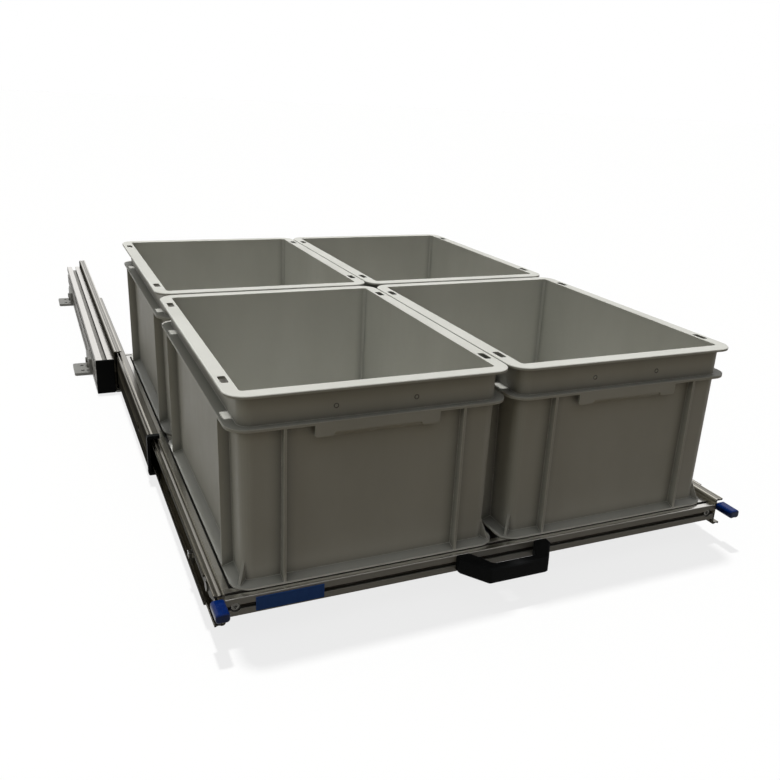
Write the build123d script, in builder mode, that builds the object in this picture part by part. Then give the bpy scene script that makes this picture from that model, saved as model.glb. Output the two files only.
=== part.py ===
from build123d import *
from math import radians, tan
import os

os.makedirs("parts", exist_ok=True)

# Pull-out rack for four stacking bins, in millimetres, shown pulled right out.
# The origin is on the floor, in the middle of the floor bolts. +Z is up and the rack pulls out towards -Y.
# Sizes across the rack are counted outwards from the side rail's outer face, as "out" values.

# Rack: the frame follows the bins, and the slides and beams follow the frame
frame_margin_x = 6.5
frame_margin_y = 6
slide_height = 38.5
slide_width = 23
slide_setback = 10
slide_overlap = 54
beam_setback = 10

# Floor beams
beam_width = 30
beam_height = 60
beam_corner = 1.5
beam_mouth = 8
beam_lip = 2.2
beam_cavity = 16.5
beam_slot_floor = 9
beam_slot_depth = 9
beam_core_hole = 6.8
beam_cap_thickness = 3

# Floor brackets
bracket_leg = 30
bracket_thickness = 5
bracket_length = 60
bracket_from_end = 135
floor_hole_diameter = 6.6
floor_hole_spacing = 30
floor_hole_from_beam = 15
bracket_bolt_diameter = 6
bracket_bolt_head = 10.5
bracket_bolt_head_height = 3
bracket_bolt_socket = 4

# Frame bars
bar_size = 20
middle_bar_width = 40
bar_corner = 1.2
bar_mouth = 5
bar_lip = 1.6
bar_cavity = 10.5
bar_slot_floor = 5.5
bar_slot_depth = 5.6
bar_core_hole = 4.2
frame_screw_head = 8.4
frame_screw_head_height = 4
frame_screw_socket = 4
frame_screw_grip = 15
head_clearance = 0.9
socket_depth = 2

# Telescopic slides
sheet = 2.4
bend_radius = 3
drawer_member_height = 35
race_gap = 6.3
ball_diameter = 7.6
race_clearance = 0.3
cage_space = 2.4
cage_thickness = 1
cage_length = 400
cage_end_margin = 20
balls_in_row = 3
inner_row_out = 7
outer_row_out = 13.2
middle_tip_out = 2.8
outer_tip_out = 10
roll_groove_width = 4
roll_groove_depth = 0.6
middle_setback = 10
bumper_length = 8
bumper_overhang = 2.3
bumper_cover = 1.4
front_notch_depth = 2.4
front_notch_length = 40

# Slide fasteners
outer_screw_diameter = 4.8
outer_screw_head = 9.2
outer_screw_grip = 9
outer_screw_count = 5
outer_screw_end_margin = 70
drawer_screw_diameter = 4
drawer_screw_head = 8
drawer_screw_head_height = 2.2
drawer_screw_count = 4
drawer_screw_end_margin = 150

# Tee nuts
bar_nut_length = 12
bar_nut_thickness = 3
bar_nut_top = 9.6
bar_nut_bottom = 6
beam_nut_length = 18
beam_nut_thickness = 5
beam_nut_top = 15.4
beam_nut_bottom = 10

# Pull handle and plate
handle_span = 115
handle_grip_span = 72
handle_reach = 38
handle_foot = 17
handle_foot_step = 8
handle_grip = 12
handle_height = 18
handle_corner = 5
handle_edge = 1.5
handle_hole_spacing = 98
handle_screw_grip = 10
plate_length = 70
plate_height = 15
plate_thickness = 1
plate_from_end = 30

# Lock levers
lever_thickness = 3
lever_out = 6.2
lever_pivot_back = 40
lever_tail_back = 115
lever_low = -2
lever_high = 10
lever_tail_high = 4
lever_pivot_high = 4
lever_neck_low = 4.5
lever_neck_back = 12
lever_inside_cap = 21
pivot_diameter = 6
pivot_collar = 10
pivot_clearance = 0.1
pivot_side_play = 0.2
pivot_head_height = 1.6
tooth_length = 8
tooth_clearance = 0.5
window_margin = 3
lever_cap_width = 14
lever_cap_wall = 3
lever_cap_height = 10
lever_cap_length = 25
lever_cap_gap = 1
lever_cap_round = 3.5
lever_cap_edge = 2
lever_cap_notch_width = 5
lever_cap_notch_depth = 1.2
spring_thickness = 0.6
spring_width = 4
spring_back = 55
spring_foot = 18
spring_reach = 14
spring_gap = 0.3

# Stacking bins
bin_width = 300
bin_depth = 400
bin_height = 204
bin_gap_x = 2
bin_gap_y = 8
mouth_strip_x = 15.5
mouth_strip_y = 16
mouth_corner = 4
cavity_draft = 0.6
wall_inset_x = 12.5
wall_inset_y = 9
wall_draft = 0.7
wall_corner = 13
rim_thickness = 3
rim_corner = 22
rim_edge = 0.8
collar_drop = 33.5
collar_thickness = 3
collar_inset = 1
foot_inset_x = 3
foot_inset_y = 1.5
foot_corner = 20
foot_thickness = 3
foot_lift = 1.2
base_inset = 6
foot_slope = 4
bin_floor = 3
fin_thickness = 2.8
short_fin_offset = 95
long_fin_offset = 148
fin_inset = 1.5
gusset_height = 28
gusset_top_reach = 8
gusset_edge_margin = 1.5
slot_width = 7.8
slot_length = 20
slot_corner = 2
slot_inset = 8.4
lip_width = 132
lip_thickness = 2.5
lip_drop = 9
lobe_width = 20
lobe_drop = 3.5
lobe_corner = 3
grip_pocket_inset = 4
grip_pocket_depth = 9
grip_pocket_drop = 15.5

# Places worked out from the sizes above
frame_width = 2 * bin_width + bin_gap_x + 2 * frame_margin_x
frame_depth = 2 * bin_depth + bin_gap_y + 2 * frame_margin_y
slide_length = frame_depth - slide_setback
beam_length = slide_length - beam_setback
bracket_offset = beam_length / 2 - bracket_from_end
travel = slide_length - slide_overlap
half_frame = frame_width / 2
beam_face = half_frame + slide_width
beam_front = -beam_length / 2
frame_front = beam_front - travel
frame_back = frame_front + frame_depth
bar_top = slide_height + bar_size / 2
drawer_half = drawer_member_height / 2
middle_inner = drawer_half + race_gap
middle_half = middle_inner + sheet
outer_inner = middle_half + race_gap
outer_half = outer_inner + sheet
outer_web_out = slide_width - sheet
middle_web_out = outer_web_out - cage_space
middle_inside_out = middle_web_out - sheet
drawer_tip_out = middle_inside_out - cage_space
inner_ball_height = drawer_half + race_gap / 2
outer_ball_height = middle_half + race_gap / 2
race_radius = ball_diameter / 2 + race_clearance
middle_front = beam_front - travel / 2 + middle_setback
middle_length = slide_length - middle_setback
cage_start = beam_front + (slide_length - cage_length) / 2
bolt_low = beam_height / 4
bolt_high = beam_height * 3 / 4
hands = ((-1, "left"), (1, "right"))
centred_up = (Align.CENTER, Align.CENTER, Align.MIN)
centred_down = (Align.CENTER, Align.CENTER, Align.MAX)


# Upright plane across the rack at a given depth; its extrusions run forwards
def section(y):
    return Plane.XZ.offset(-y)


# Points on an axis along Y, and on an axis along X, facing the given way
def facing_y(x, y, z, way):
    return Plane((x, y, z), x_dir=(1, 0, 0), z_dir=(0, way, 0))


def facing_x(x, y, z, way):
    return Plane((x, y, z), x_dir=(0, 1, 0), z_dir=(way, 0, 0))


# Downward plane at a height above a level one
def under(level, height):
    return Plane(level.offset(height).origin, x_dir=(1, 0, 0), z_dir=(0, 0, -1))


# Evenly spaced places that start at one value and end at another
def spread(first, last, count):
    return [first + (last - first) * step / (count - 1) for step in range(count)]


# Outline of an extruded profile with tee slots on every side, drawn in the sketch that is open
def slotted_profile(centre, width, height, corner, mouth, lip, cavity, floor, depth, core):
    module = min(width, height)
    columns = max(1, round(width / module))
    rows = max(1, round(height / module))
    slot = [
        (-mouth / 2, 0),
        (-mouth / 2, -lip),
        (-cavity / 2, -lip),
        (-floor / 2, -depth),
        (floor / 2, -depth),
        (cavity / 2, -lip),
        (mouth / 2, -lip),
        (mouth / 2, 0),
    ]
    across = [(column - (columns - 1) / 2) * width / columns for column in range(columns)]
    upward = [(row - (rows - 1) / 2) * height / rows for row in range(rows)]
    with Locations(centre):
        RectangleRounded(width, height, corner)
        for x in across:
            with Locations((x, height / 2)):
                Polygon(*slot, mode=Mode.SUBTRACT)
            with Locations((x, -height / 2)):
                Polygon(*slot, rotation=180, mode=Mode.SUBTRACT)
        for y in upward:
            with Locations((-width / 2, y)):
                Polygon(*slot, rotation=90, mode=Mode.SUBTRACT)
            with Locations((width / 2, y)):
                Polygon(*slot, rotation=-90, mode=Mode.SUBTRACT)
        with Locations(*[(x, y) for x in across for y in upward]):
            Circle(core / 2, mode=Mode.SUBTRACT)


def bar_profile(centre, width):
    slotted_profile(centre, width, bar_size, bar_corner, bar_mouth, bar_lip, bar_cavity,
                    bar_slot_floor, bar_slot_depth, bar_core_hole)


# Channel section of folded sheet on one side of the rack, drawn in the sketch that is open
def channel(side, web_out, tip_out, half_height, thickness):
    inside_out = web_out + thickness if tip_out > web_out else web_out - thickness
    with Locations((side * (half_frame + (web_out + tip_out) / 2), slide_height)):
        Rectangle(abs(tip_out - web_out), 2 * half_height)
    with Locations((side * (half_frame + (inside_out + tip_out) / 2), slide_height)):
        Rectangle(abs(tip_out - inside_out), 2 * (half_height - thickness), mode=Mode.SUBTRACT)


# Corners of a section that lie on one upright line, counted outwards from the side rail
def corners_at(sketch, out):
    return sketch.vertices().filter_by(lambda v: abs(abs(v.X) - half_frame - out) < 0.01)


# Screw with a round head, seated at each place of the locations that are open
def cap_screw(head_diameter, head_height, shank_diameter, shank_length):
    Cylinder(head_diameter / 2, head_height, align=centred_up)
    Cylinder(shank_diameter / 2, shank_length, align=centred_down)


# Hexagon sockets in the heads of screws seated on the given planes
def hex_sockets(seats, head_height, across_flats):
    with BuildSketch(*[seat.offset(head_height) for seat in seats]) as sockets:
        RegularPolygon(across_flats / 2, 6, major_radius=False)
    extrude(sockets.sketch, amount=-socket_depth, mode=Mode.SUBTRACT)


# Tee nut section: the wide side lies under the slot's lips
def nut_outline(side, lip_face, top, bottom, thickness, height):
    Polygon(
        (lip_face, height - top / 2),
        (lip_face, height + top / 2),
        (lip_face - side * thickness, height + bottom / 2),
        (lip_face - side * thickness, height - bottom / 2),
    )


# Floor beams with their front caps
for side, hand in hands:
    beam_centre = (side * (beam_face + beam_width / 2), beam_height / 2)

    with BuildPart() as beam:
        with BuildSketch(section(-beam_front)):
            slotted_profile(beam_centre, beam_width, beam_height, beam_corner, beam_mouth, beam_lip,
                            beam_cavity, beam_slot_floor, beam_slot_depth, beam_core_hole)
        extrude(amount=beam_length)
    beam.part.label = f"{hand}_beam"
    export_step(beam.part, f"parts/{hand}_beam.step")

    with BuildPart() as beam_cap:
        with BuildSketch(section(beam_front)):
            with Locations(beam_centre):
                RectangleRounded(beam_width, beam_height, beam_corner)
        extrude(amount=beam_cap_thickness)
        chamfer(beam_cap.faces().sort_by(Axis.Y)[0].edges(), beam_cap_thickness / 3)
    beam_cap.part.label = f"{hand}_beam_cap"
    export_step(beam_cap.part, f"parts/{hand}_beam_cap.step")

# Angle brackets that hold the beams to the floor
bracket_face = beam_face + beam_width
floor_hole_x = bracket_face + floor_hole_from_beam
for side, hand in hands:
    for end, place in ((-1, "front"), (1, "rear")):
        bracket_y = end * bracket_offset
        hole_ys = [bracket_y - floor_hole_spacing / 2, bracket_y + floor_hole_spacing / 2]

        with BuildPart() as bracket:
            with BuildSketch(section(bracket_y + bracket_length / 2)) as angle:
                with Locations((side * (bracket_face + bracket_leg / 2), bracket_leg / 2)):
                    Rectangle(bracket_leg, bracket_leg)
                with Locations((side * (bracket_face + (bracket_leg + bracket_thickness) / 2),
                                (bracket_leg + bracket_thickness) / 2)):
                    Rectangle(bracket_leg - bracket_thickness, bracket_leg - bracket_thickness,
                              mode=Mode.SUBTRACT)
            extrude(amount=bracket_length)
            fillet(bracket.edges().filter_by(Axis.Z).filter_by(lambda e: e.length < bracket_leg / 2),
                   bracket_thickness)
            with Locations(*[(side * floor_hole_x, y, bracket_thickness) for y in hole_ys]):
                Hole(floor_hole_diameter / 2, bracket_thickness)
            leg_face = side * (bracket_face + bracket_thickness)
            with Locations(*[facing_x(leg_face, y, bolt_low, side) for y in hole_ys]):
                Hole(bracket_bolt_diameter / 2, bracket_thickness)
        bracket.part.label = f"{hand}_{place}_bracket"
        export_step(bracket.part, f"parts/{hand}_{place}_bracket.step")

bracket_bolt_ys = [end * bracket_offset + half * floor_hole_spacing / 2
                   for end in (-1, 1) for half in (-1, 1)]

with BuildPart() as bracket_bolts:
    for side, hand in hands:
        leg_face = side * (bracket_face + bracket_thickness)
        bolt_seats = [facing_x(leg_face, y, bolt_low, side) for y in bracket_bolt_ys]
        with Locations(*bolt_seats):
            cap_screw(bracket_bolt_head, bracket_bolt_head_height, bracket_bolt_diameter,
                      bracket_thickness + beam_lip + beam_nut_thickness)
        hex_sockets(bolt_seats, bracket_bolt_head_height, bracket_bolt_socket)
bracket_bolts.part.label = "bracket_bolts"
export_step(bracket_bolts.part, "parts/bracket_bolts.step")

with BuildPart() as bracket_tee_nuts:
    for side, hand in hands:
        lip_face = side * (bracket_face - beam_lip)
        with BuildSketch(*[section(y) for y in bracket_bolt_ys]):
            nut_outline(side, lip_face, beam_nut_top, beam_nut_bottom, beam_nut_thickness, bolt_low)
        extrude(amount=beam_nut_length / 2, both=True)
        with Locations(*[facing_x(lip_face, y, bolt_low, side) for y in bracket_bolt_ys]):
            Hole(bracket_bolt_diameter / 2, beam_nut_thickness)
bracket_tee_nuts.part.label = "bracket_tee_nuts"
export_step(bracket_tee_nuts.part, "parts/bracket_tee_nuts.step")

# Outer slide members, screwed to the beams' inner faces
outer_screw_ys = spread(beam_front + outer_screw_end_margin, -beam_front - outer_screw_end_margin,
                        outer_screw_count)


# Countersunk screw heads sit flush in the web, facing the rack
def outer_screw_places(side):
    return [facing_x(side * beam_face, y, bolt_high, -side) for y in outer_screw_ys]


for side, hand in hands:
    with BuildPart() as outer_member:
        with BuildSketch(section(beam_front + slide_length)) as profile:
            channel(side, slide_width, outer_tip_out, outer_half, sheet)
            fillet(corners_at(profile, slide_width), bend_radius)
            fillet(corners_at(profile, outer_web_out), bend_radius - sheet)
            with Locations(*[(side * (half_frame + outer_row_out), slide_height + up * outer_ball_height)
                             for up in (-1, 1)]):
                Circle(race_radius, mode=Mode.SUBTRACT)
            with Locations(*[(side * (half_frame + (slide_width + outer_tip_out) / 2),
                              slide_height + up * outer_half) for up in (-1, 1)]):
                Rectangle(roll_groove_width, 2 * roll_groove_depth, mode=Mode.SUBTRACT)
        extrude(amount=slide_length)
        with Locations(*outer_screw_places(side)):
            Cone(outer_screw_diameter / 2, outer_screw_head / 2, sheet, align=centred_up, mode=Mode.SUBTRACT)
    outer_member.part.label = f"{hand}_outer_member"
    export_step(outer_member.part, f"parts/{hand}_outer_member.step")

with BuildPart() as outer_member_screws:
    for side, hand in hands:
        with Locations(*outer_screw_places(side)):
            Cone(outer_screw_diameter / 2, outer_screw_head / 2, sheet, align=centred_up)
            Cylinder(outer_screw_diameter / 2, outer_screw_grip, align=centred_down)
outer_member_screws.part.label = "outer_member_screws"
export_step(outer_member_screws.part, "parts/outer_member_screws.step")

with BuildPart() as outer_member_tee_nuts:
    for side, hand in hands:
        lip_face = side * (beam_face + beam_lip)
        with BuildSketch(*[section(y) for y in outer_screw_ys]):
            nut_outline(-side, lip_face, beam_nut_top, beam_nut_bottom, beam_nut_thickness, bolt_high)
        extrude(amount=beam_nut_length / 2, both=True)
        with Locations(*[facing_x(lip_face, y, bolt_high, -side) for y in outer_screw_ys]):
            Hole(outer_screw_diameter / 2, beam_nut_thickness)
outer_member_tee_nuts.part.label = "outer_member_tee_nuts"
export_step(outer_member_tee_nuts.part, "parts/outer_member_tee_nuts.step")

# Intermediate slide members, with the lever's lock window and a plastic bumper on the front end
tooth_y = lever_tail_back - tooth_length / 2
window_y = beam_front - travel / 2 + tooth_y
window_height = lever_tail_high - lever_low + 2 * window_margin
window_z = slide_height + (lever_tail_high + lever_low) / 2
for side, hand in hands:
    with BuildPart() as middle_member:
        with BuildSketch(section(middle_front + middle_length)) as profile:
            channel(side, middle_web_out, middle_tip_out, middle_half, sheet)
            fillet(corners_at(profile, middle_web_out), bend_radius)
            fillet(corners_at(profile, middle_inside_out), bend_radius - sheet)
            for up in (-1, 1):
                with Locations((side * (half_frame + outer_row_out), slide_height + up * outer_ball_height),
                               (side * (half_frame + inner_row_out), slide_height + up * inner_ball_height)):
                    Circle(race_radius, mode=Mode.SUBTRACT)
        extrude(amount=middle_length)
        with BuildSketch(facing_x(side * (half_frame + middle_inside_out), window_y, window_z, side)):
            Rectangle(tooth_length + 2 * window_margin, window_height)
        extrude(amount=sheet, mode=Mode.SUBTRACT)
    middle_member.part.label = f"{hand}_intermediate_member"
    export_step(middle_member.part, f"parts/{hand}_intermediate_member.step")

    with BuildPart() as bumper:
        with BuildSketch(section(middle_front)) as profile:
            bumper_out = middle_web_out + bumper_cover
            with Locations((side * (half_frame + (bumper_out + middle_tip_out) / 2), slide_height)):
                Rectangle(bumper_out - middle_tip_out, 2 * (middle_half + bumper_overhang))
            fillet(corners_at(profile, bumper_out), bend_radius)
            with Locations((side * (half_frame + (middle_inside_out + middle_tip_out) / 2), slide_height)):
                Rectangle(middle_inside_out - middle_tip_out, 2 * middle_inner, mode=Mode.SUBTRACT)
        extrude(amount=bumper_length)
    bumper.part.label = f"{hand}_intermediate_bumper"
    export_step(bumper.part, f"parts/{hand}_intermediate_bumper.step")

# Ball cages and their balls: the outer pair rides a quarter of the travel, the inner pair three quarters
cage_layout = (
    ("outer", travel / 4, middle_web_out, outer_row_out, outer_ball_height, outer_tip_out),
    ("inner", travel * 3 / 4, drawer_tip_out, inner_row_out, inner_ball_height, middle_tip_out),
)
for side, hand in hands:
    for layer, shift, inside, row_out, ball_height, tip_out in cage_layout:
        cage_front = cage_start - shift
        ball_ys = spread(cage_front + cage_end_margin, cage_front + cage_length - cage_end_margin,
                         balls_in_row)
        row_x = side * (half_frame + row_out)
        web_out = inside + (cage_space + cage_thickness) / 2

        with BuildPart() as cage:
            with BuildSketch(section(cage_front + cage_length)):
                channel(side, web_out, tip_out, ball_height + cage_thickness / 2, cage_thickness)
            extrude(amount=cage_length)
            with Locations(*[(row_x, y, slide_height) for y in ball_ys]):
                Cylinder(race_radius, 3 * ball_height, mode=Mode.SUBTRACT)
        cage.part.label = f"{hand}_{layer}_ball_cage"
        export_step(cage.part, f"parts/{hand}_{layer}_ball_cage.step")

        with BuildPart() as balls:
            with Locations(*[(row_x, y, slide_height + up * ball_height) for y in ball_ys for up in (-1, 1)]):
                Sphere(ball_diameter / 2)
        balls.part.label = f"{hand}_{layer}_balls"
        export_step(balls.part, f"parts/{hand}_{layer}_balls.step")

# Front and rear bars of the pull-out frame, counterbored for the screws that join the bars
corner_xs = [-half_frame + bar_size / 2, half_frame - bar_size / 2]
handle_xs = [-handle_hole_spacing / 2, handle_hole_spacing / 2]
bore_radius = frame_screw_head / 2 + head_clearance

with BuildPart() as front_bar:
    with BuildSketch(Plane.YZ.offset(-half_frame)):
        bar_profile((frame_front + bar_size / 2, slide_height), bar_size)
    extrude(amount=frame_width)
    with Locations(*[facing_y(x, frame_front, slide_height, -1) for x in corner_xs]):
        CounterBoreHole(bar_core_hole / 2, bore_radius, bar_slot_depth, bar_size)
    with Locations(*[facing_y(x, frame_front + bar_size, slide_height, 1) for x in handle_xs]):
        CounterBoreHole(bar_core_hole / 2, bore_radius, bar_slot_depth, bar_size)
front_bar.part.label = "front_bar"
export_step(front_bar.part, "parts/front_bar.step")

with BuildPart() as rear_bar:
    with BuildSketch(Plane.YZ.offset(-half_frame)):
        bar_profile((frame_back - bar_size / 2, slide_height), bar_size)
    extrude(amount=frame_width)
    with Locations(*[facing_y(x, frame_back, slide_height, 1) for x in corner_xs]):
        CounterBoreHole(bar_core_hole / 2, bore_radius, bar_slot_depth, bar_size)
rear_bar.part.label = "rear_bar"
export_step(rear_bar.part, "parts/rear_bar.step")

# Wide middle bar, under the joint between the front and rear bins
middle_y = (frame_front + frame_back) / 2
middle_screw_ys = [middle_y - middle_bar_width / 4, middle_y + middle_bar_width / 4]

with BuildPart() as middle_bar:
    with BuildSketch(Plane.YZ.offset(-half_frame + bar_size)):
        bar_profile((middle_y, slide_height), middle_bar_width)
    extrude(amount=frame_width - 2 * bar_size)
middle_bar.part.label = "middle_bar"
export_step(middle_bar.part, "parts/middle_bar.step")

# Side rails, between the front and rear bars
for side, hand in hands:
    with BuildPart() as side_rail:
        with BuildSketch(section(frame_back - bar_size)):
            bar_profile((side * (half_frame - bar_size / 2), slide_height), bar_size)
        extrude(amount=frame_depth - 2 * bar_size)
        with Locations(*[facing_x(side * half_frame, y, slide_height, side) for y in middle_screw_ys]):
            CounterBoreHole(bar_core_hole / 2, bore_radius, bar_slot_depth, bar_size)
    side_rail.part.label = f"{hand}_side_rail"
    export_step(side_rail.part, f"parts/{hand}_side_rail.step")

# Screws that join the bars end to side
frame_screw_length = bar_size - bar_slot_depth + frame_screw_grip
frame_screw_seats = [facing_y(x, frame_front + bar_slot_depth, slide_height, -1) for x in corner_xs]
frame_screw_seats += [facing_y(x, frame_back - bar_slot_depth, slide_height, 1) for x in corner_xs]
frame_screw_seats += [facing_x(side * (half_frame - bar_slot_depth), y, slide_height, side)
                      for side, hand in hands for y in middle_screw_ys]

with BuildPart() as frame_screws:
    with Locations(*frame_screw_seats):
        cap_screw(frame_screw_head, frame_screw_head_height, bar_core_hole, frame_screw_length)
    hex_sockets(frame_screw_seats, frame_screw_head_height, frame_screw_socket)
frame_screws.part.label = "frame_screws"
export_step(frame_screws.part, "parts/frame_screws.step")

# Drawer members: the inner slide members, screwed to the side rails
drawer_screw_ys = spread(frame_front + drawer_screw_end_margin,
                         frame_front + slide_length - drawer_screw_end_margin, drawer_screw_count)
pivot_y = frame_front + lever_pivot_back
pivot_z = slide_height + lever_pivot_high


# Places for the screws' heads on the drawer member's web
def drawer_screw_places(side):
    return [facing_x(side * (half_frame + sheet), y, slide_height, side) for y in drawer_screw_ys]


for side, hand in hands:
    with BuildPart() as drawer_member:
        with BuildSketch(section(frame_front + slide_length)) as profile:
            channel(side, 0, drawer_tip_out, drawer_half, sheet)
            fillet(corners_at(profile, 0), bend_radius)
            fillet(corners_at(profile, sheet), bend_radius - sheet)
            with Locations(*[(side * (half_frame + inner_row_out), slide_height + up * inner_ball_height)
                             for up in (-1, 1)]):
                Circle(race_radius, mode=Mode.SUBTRACT)
        extrude(amount=slide_length)
        with BuildSketch(section(frame_front + front_notch_length)):
            with Locations((side * (half_frame + drawer_tip_out - front_notch_depth / 2), slide_height)):
                Rectangle(front_notch_depth, drawer_member_height)
        extrude(amount=front_notch_length, mode=Mode.SUBTRACT)
        with Locations(*drawer_screw_places(side)):
            Hole(drawer_screw_diameter / 2, sheet)
        with Locations(facing_x(side * (half_frame + sheet), pivot_y, pivot_z, side)):
            Hole(pivot_diameter / 2, sheet)
    drawer_member.part.label = f"{hand}_drawer_member"
    export_step(drawer_member.part, f"parts/{hand}_drawer_member.step")

with BuildPart() as drawer_member_screws:
    for side, hand in hands:
        with Locations(*drawer_screw_places(side)):
            cap_screw(drawer_screw_head, drawer_screw_head_height, drawer_screw_diameter,
                      sheet + bar_lip + bar_nut_thickness)
drawer_member_screws.part.label = "drawer_member_screws"
export_step(drawer_member_screws.part, "parts/drawer_member_screws.step")

with BuildPart() as drawer_member_tee_nuts:
    for side, hand in hands:
        lip_face = side * (half_frame - bar_lip)
        with BuildSketch(*[section(y) for y in drawer_screw_ys]):
            nut_outline(side, lip_face, bar_nut_top, bar_nut_bottom, bar_nut_thickness, slide_height)
        extrude(amount=bar_nut_length / 2, both=True)
        with Locations(*[facing_x(lip_face, y, slide_height, side) for y in drawer_screw_ys]):
            Hole(drawer_screw_diameter / 2, bar_nut_thickness)
drawer_member_tee_nuts.part.label = "drawer_member_tee_nuts"
export_step(drawer_member_tee_nuts.part, "parts/drawer_member_tee_nuts.step")

# Bridge handle on the front bar, its top level with the bar's top, screwed on from behind the bar
handle_inner_span = handle_span - 2 * handle_foot
handle_arm = (handle_span - handle_grip_span) / 2
handle_inner_grip = handle_inner_span - 2 * handle_arm * (handle_reach - handle_grip) / handle_reach
with BuildPart() as pull_handle:
    with BuildSketch(Plane.XY.offset(bar_top - handle_height)) as bridge:
        Polygon(
            (-handle_span / 2, frame_front),
            (-handle_span / 2, frame_front - handle_foot_step),
            (-handle_grip_span / 2, frame_front - handle_reach),
            (handle_grip_span / 2, frame_front - handle_reach),
            (handle_span / 2, frame_front - handle_foot_step),
            (handle_span / 2, frame_front),
        )
        Polygon(
            (-handle_inner_span / 2, frame_front),
            (-handle_inner_grip / 2, frame_front - handle_reach + handle_grip),
            (handle_inner_grip / 2, frame_front - handle_reach + handle_grip),
            (handle_inner_span / 2, frame_front),
            mode=Mode.SUBTRACT,
        )
        bridge_corners = bridge.vertices().filter_by(lambda v: v.Y < frame_front - 0.01)
        fillet(bridge_corners, handle_corner)
    extrude(amount=handle_height)
    level_faces = pull_handle.faces().filter_by(Axis.Z)
    seat_edges = pull_handle.faces().sort_by(Axis.Y)[-2:].edges()
    chamfer(level_faces.edges() - seat_edges, handle_edge)
    with Locations(*[facing_y(x, frame_front, slide_height, 1) for x in handle_xs]):
        Hole(bar_core_hole / 2, handle_screw_grip)
pull_handle.part.label = "pull_handle"
export_step(pull_handle.part, "parts/pull_handle.step")

handle_screw_seat = frame_front + bar_size - bar_slot_depth
with BuildPart() as handle_screws:
    with Locations(*[facing_y(x, handle_screw_seat, slide_height, 1) for x in handle_xs]):
        cap_screw(frame_screw_head, frame_screw_head_height, bar_core_hole,
                  bar_size - bar_slot_depth + handle_screw_grip)
handle_screws.part.label = "handle_screws"
export_step(handle_screws.part, "parts/handle_screws.step")

# Plain plate on the front bar
with BuildPart() as front_plate:
    with BuildSketch(section(frame_front)):
        with Locations((-half_frame + plate_from_end + plate_length / 2, slide_height)):
            Rectangle(plate_length, plate_height)
    extrude(amount=plate_thickness)
front_plate.part.label = "front_plate"
export_step(front_plate.part, "parts/front_plate.step")

# Shoulder rivets that the levers turn on
collar_length = lever_out - sheet - pivot_side_play
pin_length = lever_thickness + 2 * pivot_side_play
with BuildPart() as lever_pivots:
    for side, hand in hands:
        web_face = facing_x(side * (half_frame + sheet), pivot_y, pivot_z, side)
        with Locations(web_face):
            Cylinder(pivot_diameter / 2, sheet, align=centred_down)
            Cylinder(pivot_collar / 2, collar_length, align=centred_up)
        with Locations(web_face.offset(collar_length)):
            Cylinder(pivot_diameter / 2, pin_length, align=centred_up)
        with Locations(web_face.offset(collar_length + pin_length)):
            Cylinder(pivot_collar / 2, pivot_head_height, align=centred_up)
lever_pivots.part.label = "lever_pivots"
export_step(lever_pivots.part, "parts/lever_pivots.step")

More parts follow.
